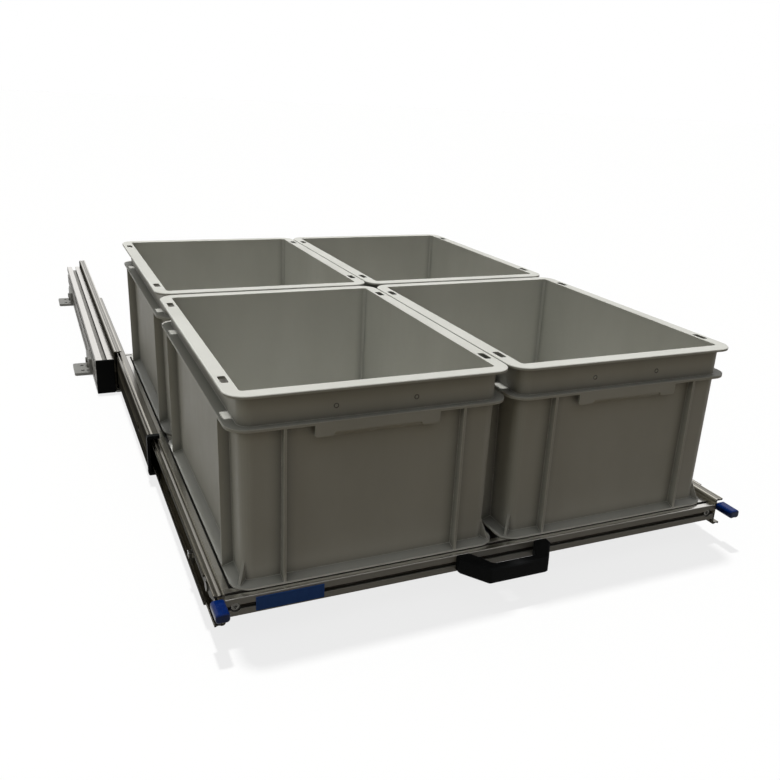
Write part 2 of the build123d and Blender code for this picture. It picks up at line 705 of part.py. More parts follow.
# Lock levers: a flat strip with a bent lock tooth, a blue dipped cap, and a leaf spring above the tail
lever_tail_y = frame_front + lever_tail_back
lever_slope = (lever_high - lever_tail_high) / (lever_tail_back - lever_pivot_back - pivot_collar)
cap_back = frame_front - lever_cap_gap
spring_y = frame_front + lever_pivot_back + spring_back
spring_tip_y = spring_y - spring_foot / 2 - spring_reach
spring_tip_low = lever_high - lever_slope * (spring_tip_y - pivot_y - pivot_collar) + spring_gap
spring_ceiling = drawer_half - sheet
for side, hand in hands:
    lever_near = side * (half_frame + lever_out)
    lever_far = side * (half_frame + lever_out + lever_thickness)
    tooth_tip = side * (half_frame + middle_inside_out - tooth_clearance)

    with BuildPart() as lever:
        with BuildSketch(Plane.YZ.offset(lever_near)):
            Polygon(
                (cap_back - lever_inside_cap, slide_height + lever_neck_low),
                (cap_back - lever_inside_cap, slide_height + lever_high),
                (pivot_y + pivot_collar, slide_height + lever_high),
                (lever_tail_y, slide_height + lever_tail_high),
                (lever_tail_y, slide_height + lever_low),
                (pivot_y - pivot_collar, slide_height + lever_low),
                (frame_front + lever_neck_back, slide_height + lever_neck_low),
            )
            with Locations((pivot_y, pivot_z)):
                Circle(pivot_diameter / 2 + pivot_clearance, mode=Mode.SUBTRACT)
        extrude(amount=side * lever_thickness)
        with BuildSketch(Plane.YZ.offset(lever_far)):
            with Locations((lever_tail_y - tooth_length / 2, window_z)):
                Rectangle(tooth_length, lever_tail_high - lever_low)
        extrude(amount=tooth_tip - lever_far)
    lever.part.label = f"{hand}_lock_lever"
    export_step(lever.part, f"parts/{hand}_lock_lever.step")

    with BuildPart() as lever_cap:
        strip_x = side * (half_frame + lever_out + lever_thickness / 2)
        cap_top = slide_height + lever_high + lever_cap_wall
        with BuildSketch(section(cap_back)):
            with Locations((strip_x, cap_top - lever_cap_height / 2)):
                RectangleRounded(lever_cap_width, lever_cap_height, lever_cap_round)
        extrude(amount=lever_cap_length)
        fillet(lever_cap.faces().sort_by(Axis.Y)[0].edges(), lever_cap_edge)
        with BuildSketch(section(cap_back)):
            with Locations((strip_x, cap_top - lever_cap_height)):
                Rectangle(lever_cap_notch_width, 2 * lever_cap_notch_depth)
        extrude(amount=lever_cap_length, mode=Mode.SUBTRACT)
        with BuildSketch(section(cap_back)):
            with Locations((strip_x, slide_height + (lever_neck_low + lever_high) / 2)):
                Rectangle(lever_thickness, lever_high - lever_neck_low)
        extrude(amount=lever_inside_cap, mode=Mode.SUBTRACT)
    lever_cap.part.label = f"{hand}_lever_cap"
    export_step(lever_cap.part, f"parts/{hand}_lever_cap.step")

    with BuildPart() as lever_spring:
        spring_mid = side * (half_frame + lever_out + lever_thickness / 2)
        with BuildSketch(Plane.YZ.offset(spring_mid)):
            Polygon(
                (spring_y + spring_foot / 2, slide_height + spring_ceiling),
                (spring_y - spring_foot / 2, slide_height + spring_ceiling),
                (spring_tip_y, slide_height + spring_tip_low + spring_thickness),
                (spring_tip_y, slide_height + spring_tip_low),
                (spring_y - spring_foot / 2, slide_height + spring_ceiling - spring_thickness),
                (spring_y + spring_foot / 2, slide_height + spring_ceiling - spring_thickness),
            )
        extrude(amount=spring_width / 2, both=True)
    lever_spring.part.label = f"{hand}_lever_spring"
    export_step(lever_spring.part, f"parts/{hand}_lever_spring.step")

# Stacking bins: a drafted tub with a rim, a collar, a foot flange, upright fins and hand grips
collar_top = bin_height - collar_drop
collar_low = collar_top - collar_thickness
half_width = bin_width / 2
half_depth = bin_depth / 2
wall_height = bin_height - rim_thickness
wall_foot_x = wall_inset_x + wall_height * tan(radians(wall_draft))
wall_foot_y = wall_inset_y + wall_height * tan(radians(wall_draft))
foot_width = bin_width - 2 * foot_inset_x
foot_depth = bin_depth - 2 * foot_inset_y
slope_top = foot_thickness + foot_slope
gusset_reach = foot_corner - gusset_edge_margin
mouth_width = bin_width - 2 * mouth_strip_x
mouth_depth = bin_depth - 2 * mouth_strip_y
for row, place_y in (("front", -1), ("rear", 1)):
    for side, hand in hands:
        bin_x = side * (bin_width + bin_gap_x) / 2
        bin_y = middle_y + place_y * (bin_depth + bin_gap_y) / 2
        base = Plane((bin_x, bin_y, bar_top))

        with BuildPart() as storage_bin:
            # Rim, with its top edge broken
            with BuildSketch(base.offset(wall_height)):
                RectangleRounded(bin_width, bin_depth, rim_corner)
            extrude(amount=rim_thickness)
            chamfer(storage_bin.faces().sort_by(Axis.Z)[-1].edges(), rim_edge)

            # Drafted outer wall, from the rim down
            with BuildSketch(under(base, wall_height)):
                RectangleRounded(bin_width - 2 * wall_inset_x, bin_depth - 2 * wall_inset_y, wall_corner)
            extrude(amount=wall_height, taper=wall_draft)

            # Collar, and a foot flange held clear by the base, with a slope from the flange up to the wall
            with BuildSketch(base.offset(collar_low)):
                RectangleRounded(bin_width - 2 * collar_inset, bin_depth - 2 * collar_inset, rim_corner)
            extrude(amount=collar_thickness)
            with BuildSketch(base):
                RectangleRounded(foot_width - 2 * base_inset, foot_depth - 2 * base_inset,
                                 foot_corner - base_inset)
            extrude(amount=foot_lift)
            with BuildSketch(base.offset(foot_lift)):
                RectangleRounded(foot_width, foot_depth, foot_corner)
            extrude(amount=foot_thickness - foot_lift)
            with BuildSketch(base.offset(foot_thickness)):
                RectangleRounded(foot_width, foot_depth, foot_corner)
            with BuildSketch(base.offset(slope_top)):
                RectangleRounded(bin_width - 2 * wall_foot_x, bin_depth - 2 * wall_foot_y, wall_corner)
            loft(ruled=True)

            # Upright fins, as plates right across the bin that the hollow then cuts through
            for end in (-1, 1):
                with BuildSketch(Plane((bin_x + end * short_fin_offset, bin_y, bar_top), x_dir=(0, 1, 0),
                                       z_dir=(1, 0, 0))):
                    Polygon((-foot_depth / 2, foot_lift), (foot_depth / 2, foot_lift),
                            (half_depth - fin_inset, collar_low), (-half_depth + fin_inset, collar_low))
                extrude(amount=fin_thickness / 2, both=True)
                with BuildSketch(Plane((bin_x, bin_y + end * long_fin_offset, bar_top), x_dir=(1, 0, 0),
                                       z_dir=(0, -1, 0))):
                    Polygon((-foot_width / 2, foot_lift), (foot_width / 2, foot_lift),
                            (half_width - fin_inset, collar_low), (-half_width + fin_inset, collar_low))
                extrude(amount=fin_thickness / 2, both=True)

            # Corner gussets between the foot flange and the wall
            for corner_x in (-1, 1):
                for corner_y in (-1, 1):
                    corner = Plane((bin_x + corner_x * (foot_width / 2 - foot_corner),
                                    bin_y + corner_y * (foot_depth / 2 - foot_corner), bar_top),
                                   x_dir=(corner_x, corner_y, 0), z_dir=(corner_y, -corner_x, 0))
                    with BuildSketch(corner):
                        Polygon((0, foot_lift), (gusset_reach, foot_lift), (gusset_reach, foot_thickness),
                                (gusset_top_reach, gusset_height), (0, gusset_height))
                    extrude(amount=fin_thickness / 2, both=True)

            # Hand grips under the collar of the short sides: a lip with a deeper lobe at each end
            for end in (-1, 1):
                lip_y = bin_y + end * (half_depth - collar_inset)
                with BuildSketch(facing_y(bin_x, lip_y, bar_top + collar_low, end)) as lip:
                    with Locations((0, end * lip_drop / 2)):
                        Rectangle(lip_width, lip_drop)
                    with GridLocations(lip_width - lobe_width, 0, 2, 1):
                        with Locations((0, end * (lip_drop + lobe_drop) / 2)):
                            Rectangle(lobe_width, lip_drop + lobe_drop)
                    fillet(lip.vertices().group_by(Axis.Y)[-1 if end > 0 else 0], lobe_corner)
                extrude(amount=-lip_thickness)

            # Hollow inside, finger pockets behind the lips, and slots through the rim
            with BuildSketch(under(base, bin_height)):
                RectangleRounded(mouth_width, mouth_depth, mouth_corner)
            extrude(amount=bin_height - bin_floor, taper=cavity_draft, mode=Mode.SUBTRACT)
            with BuildSketch(base.offset(collar_low)):
                with GridLocations(0, bin_depth - 2 * grip_pocket_inset - grip_pocket_depth, 1, 2):
                    Rectangle(lip_width - lobe_width, grip_pocket_depth)
            extrude(amount=-grip_pocket_drop, mode=Mode.SUBTRACT)
            with BuildSketch(base.offset(bin_height)):
                with GridLocations(bin_width - 2 * slot_inset, 2 * long_fin_offset, 2, 2):
                    RectangleRounded(slot_width, slot_length, slot_corner)
            extrude(amount=-rim_thickness, mode=Mode.SUBTRACT)
        storage_bin.part.label = f"{row}_{hand}_bin"
        export_step(storage_bin.part, f"parts/{row}_{hand}_bin.step")
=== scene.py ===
import math
import bmesh
import bpy
from mathutils import Matrix, Vector


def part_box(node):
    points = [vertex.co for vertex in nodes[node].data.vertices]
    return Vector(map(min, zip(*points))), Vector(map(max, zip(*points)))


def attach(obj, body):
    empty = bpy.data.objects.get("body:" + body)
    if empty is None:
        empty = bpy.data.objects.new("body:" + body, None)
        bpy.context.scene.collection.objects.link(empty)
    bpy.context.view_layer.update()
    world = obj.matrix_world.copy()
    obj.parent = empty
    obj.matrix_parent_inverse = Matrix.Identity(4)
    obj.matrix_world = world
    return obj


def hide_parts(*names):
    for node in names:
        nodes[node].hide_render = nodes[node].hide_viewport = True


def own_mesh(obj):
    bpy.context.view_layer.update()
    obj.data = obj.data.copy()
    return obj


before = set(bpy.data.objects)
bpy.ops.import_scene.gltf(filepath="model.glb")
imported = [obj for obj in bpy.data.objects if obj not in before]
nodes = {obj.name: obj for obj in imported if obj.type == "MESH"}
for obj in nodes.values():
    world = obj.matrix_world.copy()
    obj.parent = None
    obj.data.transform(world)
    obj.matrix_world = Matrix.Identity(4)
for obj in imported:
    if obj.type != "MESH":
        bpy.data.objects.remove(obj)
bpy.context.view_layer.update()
print("rack loaded:", len(nodes), "pieces")


# material helpers: every pattern reads Object coordinates, in metres
def startMaterial(name, roughness, metallic=0.0):
    mat = bpy.data.materials.new(name)
    mat.use_nodes = True
    tree = mat.node_tree
    shader = tree.nodes["Principled BSDF"]
    shader.inputs["Roughness"].default_value = roughness
    shader.inputs["Metallic"].default_value = metallic
    coords = tree.nodes.new("ShaderNodeTexCoord").outputs["Object"]
    return mat, tree, shader, coords


def stretched(tree, coords, scale):
    mapping = tree.nodes.new("ShaderNodeMapping")
    mapping.inputs["Scale"].default_value = scale
    tree.links.new(coords, mapping.inputs["Vector"])
    return mapping.outputs["Vector"]


def noiseOn(tree, vector, scale, detail=3.0, rough=0.55):
    noise = tree.nodes.new("ShaderNodeTexNoise")
    noise.inputs["Scale"].default_value = scale
    noise.inputs["Detail"].default_value = detail
    noise.inputs["Roughness"].default_value = rough
    tree.links.new(vector, noise.inputs["Vector"])
    return noise.outputs["Fac"]


def rampOn(tree, value, stops):
    ramp = tree.nodes.new("ShaderNodeValToRGB")
    points = ramp.color_ramp.elements
    while len(points) < len(stops):
        points.new(0.5)
    for point, (place, colour) in zip(points, stops):
        point.position = place
        point.color = (*colour, 1.0)
    tree.links.new(value, ramp.inputs["Fac"])
    return ramp.outputs["Color"]


def greyRamp(tree, value, steps):
    return rampOn(tree, value, [(at, (level,) * 3) for at, level in steps])


def spanOn(tree, value, low, high, fromLow=0.3, fromHigh=0.7):
    span = tree.nodes.new("ShaderNodeMapRange")
    for socket, number in zip(("From Min", "From Max", "To Min", "To Max"), (fromLow, fromHigh, low, high)):
        span.inputs[socket].default_value = number
    tree.links.new(value, span.inputs["Value"])
    return span.outputs["Result"]


def blendColour(tree, factor, first, second, mode="MIX"):
    mix = tree.nodes.new("ShaderNodeMix")
    mix.data_type = "RGBA"
    mix.blend_type = mode
    sockets = [s for s in mix.inputs if s.type == "RGBA"]
    for socket, colour in zip(sockets, (first, second)):
        if isinstance(colour, tuple):
            socket.default_value = (*colour, 1.0)
        else:
            tree.links.new(colour, socket)
    if isinstance(factor, float):
        mix.inputs[0].default_value = factor
    else:
        tree.links.new(factor, mix.inputs[0])
    return [s for s in mix.outputs if s.type == "RGBA"][0]


def timesOn(tree, first, second):
    times = tree.nodes.new("ShaderNodeMath")
    times.operation = "MULTIPLY"
    tree.links.new(first, times.inputs[0])
    tree.links.new(second, times.inputs[1])
    return times.outputs["Value"]


def absoluteOn(tree, value):
    size = tree.nodes.new("ShaderNodeMath")
    size.operation = "ABSOLUTE"
    tree.links.new(value, size.inputs[0])
    return size.outputs["Value"]


def partsOf(tree, vector):
    parts = tree.nodes.new("ShaderNodeSeparateXYZ")
    tree.links.new(vector, parts.inputs[0])
    return parts.outputs


probeSamples = {"edges": 6, "openness": 8}


# soft edges: the Bevel node rounds the shading, and its tilt from the true normal marks the edges
def softEdges(tree, radius):
    bevel = tree.nodes.new("ShaderNodeBevel")
    bevel.samples = probeSamples["edges"]
    bevel.inputs["Radius"].default_value = radius
    return bevel.outputs["Normal"]


# painted highlight: this mask marks the edges that each finish paints towards its pale edge colour
def edgeHighlightMask(tree, bevelNormal, start):
    geometry = tree.nodes.new("ShaderNodeNewGeometry")
    dot = tree.nodes.new("ShaderNodeVectorMath")
    dot.operation = "DOT_PRODUCT"
    tree.links.new(bevelNormal, dot.inputs[0])
    tree.links.new(geometry.outputs["True Normal"], dot.inputs[1])
    return spanOn(tree, dot.outputs["Value"], 1.0, 0.0, start, 1.0)


def bumpOn(tree, height, strength, distance, normal=None):
    bump = tree.nodes.new("ShaderNodeBump")
    bump.inputs["Strength"].default_value = strength
    bump.inputs["Distance"].default_value = distance
    tree.links.new(height, bump.inputs["Height"])
    if normal is not None:
        tree.links.new(normal, bump.inputs["Normal"])
    return bump.outputs["Normal"]


# how open a point is (ambient occlusion): low at the bottom of slots and grooves, and under what covers it;
# finishes darken with it as painted shade, and keep their painted top sheen off what is covered
def openness(tree, reach, alone=True):
    hollow = tree.nodes.new("ShaderNodeAmbientOcclusion")
    hollow.samples = probeSamples["openness"]
    hollow.only_local = alone
    hollow.inputs["Distance"].default_value = reach
    return hollow.outputs["AO"]


# faces that look up and lie free: painted top sheen, where they are made paler, more metallic and whiter in
# their specular tint as though lit from above
topSheenLook = {"upward": (0.7, 0.95), "free": (0.55, 0.9), "white": (1.0, 1.0, 1.0)}


def paintedTopSheen(tree, openAt, shader, look):
    geometry = tree.nodes.new("ShaderNodeNewGeometry")
    height = partsOf(tree, geometry.outputs["Normal"])["Z"]
    lookingUp = spanOn(tree, height, 0.0, 1.0, *topSheenLook["upward"])
    topSheen = timesOn(tree, lookingUp, spanOn(tree, openAt, 0.0, 1.0, *topSheenLook["free"]))
    tree.links.new(spanOn(tree, topSheen, look["metal"], 1.0, 0.0, 1.0), shader.inputs["Metallic"])
    tint = blendColour(tree, topSheen, (look["rim"],) * 3, topSheenLook["white"])
    tree.links.new(tint, shader.inputs["Specular Tint"])
    return topSheen


# moulded grey plastic of the bins: fine grain, faint flow marks, painted shade in the creases, and edges
# painted paler as a highlight
mouldLook = {"rough": 0.5, "gloss": 0.25, "flow": 9.0, "flowShape": (1.0, 1.0, 0.35), "open": (0.45, 0.95),
             "rub": 55.0, "highlightVary": (0.4, 1.0), "edgeStart": 0.9, "grain": 1400.0, "bump": 0.10,
             "bumpDepth": 0.0004, "satin": (0.44, 0.58)}
binLook = {"dark": (0.55, 0.548, 0.507), "pale": (0.61, 0.607, 0.566), "edge": (0.93, 0.925, 0.87),
           "edgeRound": 0.001, "creaseReach": 0.014, "crease": 0.45}
# the pin eyes are a darker grey than the bin plastic they are moulded in: painted shade for their holes;
# their edge colour is a painted highlight
eyeFinish = {"dark": (0.16, 0.159, 0.148), "pale": (0.19, 0.189, 0.177), "edge": (0.34, 0.338, 0.315),
             "edgeRound": 0.0002, "creaseReach": 0.003, "crease": 0.3}


def binPlastic(name, look):
    mould = mouldLook
    mat, tree, shader, coords = startMaterial(name, mould["rough"])
    shader.inputs["Specular IOR Level"].default_value = mould["gloss"]
    flow = noiseOn(tree, stretched(tree, coords, mould["flowShape"]), mould["flow"], 4.0)
    body = rampOn(tree, flow, [(0.34, look["dark"]), (0.66, look["pale"])])
    # painted shade: creases darken where little is open around them
    openAt = spanOn(tree, openness(tree, look["creaseReach"]), 0.0, 1.0, *mould["open"])
    creaseShade = greyRamp(tree, openAt, [(0.0, look["crease"]), (1.0, 1.0)])
    shaded = blendColour(tree, 1.0, body, creaseShade, "MULTIPLY")
    rounded = softEdges(tree, look["edgeRound"])
    rubbed = noiseOn(tree, coords, mould["rub"], 5.0, 0.7)
    # painted highlight: edges blend to the pale edge colour, varied along them by noise
    worn = timesOn(tree, edgeHighlightMask(tree, rounded, mould["edgeStart"]), spanOn(tree, rubbed, *mould["highlightVary"]))
    tree.links.new(blendColour(tree, worn, shaded, look["edge"]), shader.inputs["Base Color"])
    grain = noiseOn(tree, coords, mould["grain"], 2.0)
    bumps = bumpOn(tree, grain, mould["bump"], mould["bumpDepth"], rounded)
    tree.links.new(bumps, shader.inputs["Normal"])
    tree.links.new(spanOn(tree, rubbed, *mould["satin"]), shader.inputs["Roughness"])
    return mat


# anodised profile: die lines run along the bar, a faint cloud in the satin, painted highlights on the edges,
# painted shade in the slots, and a painted sheen on the free upward faces
dieLook = {"rough": 0.38, "slotReach": 0.012, "along": 5.0, "across": 900.0, "cloud": 14.0,
           "cloudShare": 0.35, "edgeRound": 0.0005, "edgeStart": 0.75, "slotShadeShare": 0.9, "slot": (0.3, 0.8),
           "satin": (0.32, 0.46), "bump": 0.10, "bumpDepth": 0.0002}
# in each look the rubbed colour, metal and rim give the painted top sheen, the edge colour is a painted
# highlight, and the darkest colour is painted shade for the slots
barLook = {"dark": (0.27, 0.258, 0.232), "pale": (0.37, 0.357, 0.325), "edge": (0.78, 0.77, 0.73),
           "slotShadeColour": (0.06, 0.057, 0.048), "rubbed": (0.74, 0.725, 0.69), "metal": 0.1, "gloss": 0.03,
           "rim": 0.35, "smoother": 0.55}
beamLook = {"dark": (0.30, 0.291, 0.27), "pale": (0.40, 0.389, 0.362), "edge": (0.80, 0.79, 0.76),
            "slotShadeColour": (0.08, 0.076, 0.066), "rubbed": (0.74, 0.715, 0.675), "metal": 0.08, "gloss": 0.05,
            "rim": 0.35, "smoother": 0.6}


def profileAluminium(name, along, look):
    die = dieLook
    mat, tree, shader, coords = startMaterial(name, die["rough"], look["metal"])
    shader.inputs["Specular IOR Level"].default_value = look["gloss"]
    openAt = openness(tree, die["slotReach"])
    topSheen = paintedTopSheen(tree, openAt, shader, look)
    scale = tuple(die["along"] if axis == along else die["across"] for axis in "XYZ")
    lines = noiseOn(tree, stretched(tree, coords, scale), 1.0)
    cloud = noiseOn(tree, coords, die["cloud"])
    body = rampOn(tree, lines, [(0.25, look["dark"]), (0.75, look["pale"])])
    clouds = rampOn(tree, cloud, [(0.3, look["dark"]), (0.7, look["pale"])])
    rounded = softEdges(tree, die["edgeRound"])
    tone = blendColour(tree, die["cloudShare"], body, clouds)
    # painted shade: slots and grooves darken towards the darkest colour where little is open around them
    slotShaded = blendColour(tree, spanOn(tree, openAt, die["slotShadeShare"], 0.0, *die["slot"]), tone, look["slotShadeColour"])
    edgeHighlighted = blendColour(tree, edgeHighlightMask(tree, rounded, die["edgeStart"]), slotShaded, look["edge"])
    # painted top sheen: free upward faces blend to the rubbed colour
    tree.links.new(blendColour(tree, topSheen, edgeHighlighted, look["rubbed"]), shader.inputs["Base Color"])
    satin = spanOn(tree, lines, *die["satin"])
    smoother = timesOn(tree, satin, spanOn(tree, topSheen, 1.0, look["smoother"], 0.0, 1.0))
    tree.links.new(smoother, shader.inputs["Roughness"])
    tree.links.new(bumpOn(tree, lines, die["bump"], die["bumpDepth"], rounded), shader.inputs["Normal"])
    return mat


# painted light and shade in bands along the slide, outwards from the side rail and up the slide: lit strips
# and shaded lines over the ball tracks and channels, with fine rolled ridges along it
paintedBandLook = {"railFace": 0.3075, "reach": 0.023, "low": 0.0115, "high": 0.0655, "chatter": 131.0,
            "waver": 0.6, "rolled": [(0.2, 0.82), (0.8, 1.12)],
            "tones": [(0.09, 1.6), (0.12, 1.6), (0.13, 0.35), (0.15, 0.35), (0.17, 0.7), (0.43, 0.7),
                      (0.45, 1.5), (0.50, 1.5), (0.53, 0.45), (0.62, 0.45), (0.64, 1.3), (0.67, 1.3),
                      (0.70, 0.5), (0.80, 0.5), (0.82, 1.4), (0.86, 1.4), (0.90, 0.6)],
            "heights": [(0.44, 0.9), (0.48, 3.2), (0.52, 3.2), (0.56, 2.3), (0.72, 2.3), (0.80, 1.1)]}


def paintedSlideBands(tree, coords, colour):
    look = paintedBandLook
    parts = partsOf(tree, coords)
    farEdge = look["railFace"] + look["reach"]
    place = spanOn(tree, absoluteOn(tree, parts["X"]), 0.0, 1.0, look["railFace"], farEdge)
    height = spanOn(tree, parts["Z"], 0.0, 1.0, look["low"], look["high"])
    tone = blendColour(tree, 1.0, greyRamp(tree, place, look["tones"]),
                       greyRamp(tree, height, look["heights"]), "MULTIPLY")
    ridges = tree.nodes.new("ShaderNodeTexWave")
    ridges.bands_direction = "Y"
    ridges.inputs["Scale"].default_value = look["chatter"]
    ridges.inputs["Distortion"].default_value = look["waver"]
    tree.links.new(coords, ridges.inputs["Vector"])
    rolled = greyRamp(tree, ridges.outputs["Fac"], look["rolled"])
    return blendColour(tree, 1.0, blendColour(tree, 1.0, colour, tone, "MULTIPLY"), rolled, "MULTIPLY")


# rolled and plated strip: long rub marks along the slide, dull spangle, edges painted bright as a highlight,
# and a painted sheen on free upward faces
stripLook = {"reach": 0.004, "spangle": 60.0, "streaks": (520.0, 2.5, 520.0), "rubShare": 0.55,
             "rubFrom": (0.5, 0.72), "edgeRound": 0.0005, "edgeStart": 0.8, "shinier": 0.08, "duller": 0.1,
             "bump": 0.14, "bumpDepth": 0.0002}


def slideSteel(name, look):
    strip = stripLook
    mat, tree, shader, coords = startMaterial(name, look["rough"], look["metal"])
    shader.inputs["Specular IOR Level"].default_value = look["gloss"]
    # painted top sheen on free upward faces; their pale rubbed colour gets the same painted bands further
    # down
    topSheen = paintedTopSheen(tree, openness(tree, strip["reach"]), shader, look)
    spangle = noiseOn(tree, coords, strip["spangle"], 4.0, 0.65)
    streaks = noiseOn(tree, stretched(tree, coords, strip["streaks"]), 1.0, 4.0, 0.6)
    body = rampOn(tree, spangle, [(0.3, look["dull"]), (0.7, look["bright"])])
    rubs = spanOn(tree, streaks, 0.0, strip["rubShare"], *strip["rubFrom"])
    marked = blendColour(tree, rubs, body, look["rub"])
    rounded = softEdges(tree, strip["edgeRound"])
    banded = paintedSlideBands(tree, coords, marked)
    edgeHighlighted = blendColour(tree, edgeHighlightMask(tree, rounded, strip["edgeStart"]), banded, look["edge"])
    bright = paintedSlideBands(tree, coords, look["rubbed"])
    tree.links.new(blendColour(tree, topSheen, edgeHighlighted, bright), shader.inputs["Base Color"])
    satin = spanOn(tree, streaks, look["rough"] - strip["shinier"], look["rough"] + strip["duller"])
    smoother = timesOn(tree, satin, spanOn(tree, topSheen, 1.0, look["smoother"], 0.0, 1.0))
    tree.links.new(smoother, shader.inputs["Roughness"])
    tree.links.new(bumpOn(tree, streaks, strip["bump"], strip["bumpDepth"], rounded), shader.inputs["Normal"])
    return mat


# in each look the rubbed colour, metal and rim give the painted top sheen, and the edge colour is a painted
# highlight
memberLook = {"dull": (0.065, 0.06, 0.047), "bright": (0.11, 0.103, 0.083), "rub": (0.20, 0.19, 0.16),
              "edge": (0.46, 0.45, 0.40), "rubbed": (0.40, 0.38, 0.335), "metal": 0.15,
              "gloss": 0.0, "rim": 0.2, "rough": 0.4, "smoother": 0.5}
cageLook = {"dull": (0.035, 0.033, 0.027), "bright": (0.06, 0.056, 0.045), "rub": (0.10, 0.095, 0.08),
            "edge": (0.22, 0.21, 0.18), "rubbed": (0.30, 0.28, 0.24), "metal": 0.15,
            "gloss": 0.0, "rim": 0.2, "rough": 0.44, "smoother": 0.6}
leverLook = {"dull": (0.06, 0.058, 0.05), "bright": (0.09, 0.087, 0.077), "rub": (0.14, 0.136, 0.122),
             "edge": (0.46, 0.45, 0.42), "rubbed": (0.45, 0.44, 0.41), "metal": 0.25,
             "gloss": 0.05, "rim": 0.3, "rough": 0.36, "smoother": 0.6}


# blasted alloy of the floor brackets, with edges painted paler as a highlight
bracketLook = {"dark": (0.20, 0.198, 0.186), "pale": (0.28, 0.278, 0.262), "edge": (0.50, 0.495, 0.47),
               "rough": 0.5, "metal": 0.3, "gloss": 0.3, "blast": 900.0, "patches": 40.0, "edgeRound": 0.0007,
               "edgeStart": 0.8, "satin": (0.44, 0.58), "bump": 0.2, "bumpDepth": 0.0003}


def bracketAlloy(name, look):
    mat, tree, shader, coords = startMaterial(name, look["rough"], look["metal"])
    shader.inputs["Specular IOR Level"].default_value = look["gloss"]
    blast = noiseOn(tree, coords, look["blast"])
    patches = noiseOn(tree, coords, look["patches"], 4.0)
    rounded = softEdges(tree, look["edgeRound"])
    body = rampOn(tree, patches, [(0.3, look["dark"]), (0.7, look["pale"])])
    colour = blendColour(tree, edgeHighlightMask(tree, rounded, look["edgeStart"]), body, look["edge"])
    tree.links.new(colour, shader.inputs["Base Color"])
    tree.links.new(spanOn(tree, patches, *look["satin"]), shader.inputs["Roughness"])
    tree.links.new(bumpOn(tree, blast, look["bump"], look["bumpDepth"], rounded), shader.inputs["Normal"])
    return mat


# turned and plated fasteners, polished balls; their edges are painted paler as a highlight
turnedLook = {"specks": 420.0, "edgeRound": 0.0004, "edgeStart": 0.8, "shinier": 0.06, "duller": 0.08}


def turnedSteel(name, look):
    turned = turnedLook
    mat, tree, shader, coords = startMaterial(name, look["rough"], look["metal"])
    shader.inputs["Specular IOR Level"].default_value = look["gloss"]
    shader.inputs["Specular Tint"].default_value = (look["rim"],) * 3 + (1.0,)
    specks = noiseOn(tree, coords, turned["specks"])
    rounded = softEdges(tree, turned["edgeRound"])
    tone = rampOn(tree, specks, [(0.3, look["dark"]), (0.7, look["pale"])])
    colour = blendColour(tree, edgeHighlightMask(tree, rounded, turned["edgeStart"]), tone, look["edge"])
    tree.links.new(colour, shader.inputs["Base Color"])
    duller = spanOn(tree, specks, look["rough"] - turned["shinier"], look["rough"] + turned["duller"])
    tree.links.new(duller, shader.inputs["Roughness"])
    tree.links.new(rounded, shader.inputs["Normal"])
    return mat


fastenerLook = {"dark": (0.11, 0.107, 0.096), "pale": (0.17, 0.166, 0.15), "edge": (0.58, 0.57, 0.53),
                "metal": 0.55, "gloss": 0.1, "rim": 0.6, "rough": 0.3}
ballLook = {"dark": (0.60, 0.60, 0.60), "pale": (0.72, 0.72, 0.72), "edge": (0.78, 0.78, 0.78),
            "metal": 1.0, "gloss": 0.5, "rim": 1.0, "rough": 0.16}


# black moulded plastic with a fine spark-eroded grain; edges painted a little paler as a highlight
blackLook = {"deep": (0.007, 0.0075, 0.0078), "worn": (0.012, 0.0125, 0.013), "edge": (0.025, 0.025, 0.026),
             "rough": 0.52, "gloss": 0.03, "grain": 1100.0, "cloud": 38.0, "edgeRound": 0.0008,
             "edgeStart": 0.8, "satin": (0.46, 0.6), "bump": 0.16, "bumpDepth": 0.0003}


def blackPlastic(name, look):
    mat, tree, shader, coords = startMaterial(name, look["rough"])
    shader.inputs["Specular IOR Level"].default_value = look["gloss"]
    grain = noiseOn(tree, coords, look["grain"], 2.0)
    cloud = noiseOn(tree, coords, look["cloud"], 4.0)
    rounded = softEdges(tree, look["edgeRound"])
    body = rampOn(tree, cloud, [(0.3, look["deep"]), (0.7, look["worn"])])
    colour = blendColour(tree, edgeHighlightMask(tree, rounded, look["edgeStart"]), body, look["edge"])
    tree.links.new(colour, shader.inputs["Base Color"])
    tree.links.new(spanOn(tree, cloud, *look["satin"]), shader.inputs["Roughness"])
    tree.links.new(bumpOn(tree, grain, look["bump"], look["bumpDepth"], rounded), shader.inputs["Normal"])
    return mat


# blue dipped vinyl on the levers, and blue enamel on the plain plate; edges painted paler as a highlight
coatLook = {"runs": 120.0, "runShape": (1.0, 1.0, 0.5), "edgeRound": 0.0008, "edgeStart": 0.8,
            "shinier": 0.05, "duller": 0.08, "bumpDepth": 0.0004}


def blueFinish(name, look):
    coat = coatLook
    mat, tree, shader, coords = startMaterial(name, look["rough"])
    shader.inputs["Specular IOR Level"].default_value = look["gloss"]
    runs = noiseOn(tree, stretched(tree, coords, coat["runShape"]), coat["runs"])
    rounded = softEdges(tree, coat["edgeRound"])
    body = rampOn(tree, runs, [(0.3, look["deep"]), (0.7, look["bright"])])
    colour = blendColour(tree, edgeHighlightMask(tree, rounded, coat["edgeStart"]), body, look["edge"])
    tree.links.new(colour, shader.inputs["Base Color"])
    satin = spanOn(tree, runs, look["rough"] - coat["shinier"], look["rough"] + coat["duller"])
    tree.links.new(satin, shader.inputs["Roughness"])
    tree.links.new(bumpOn(tree, runs, look["dimple"], coat["bumpDepth"], rounded), shader.inputs["Normal"])
    return mat


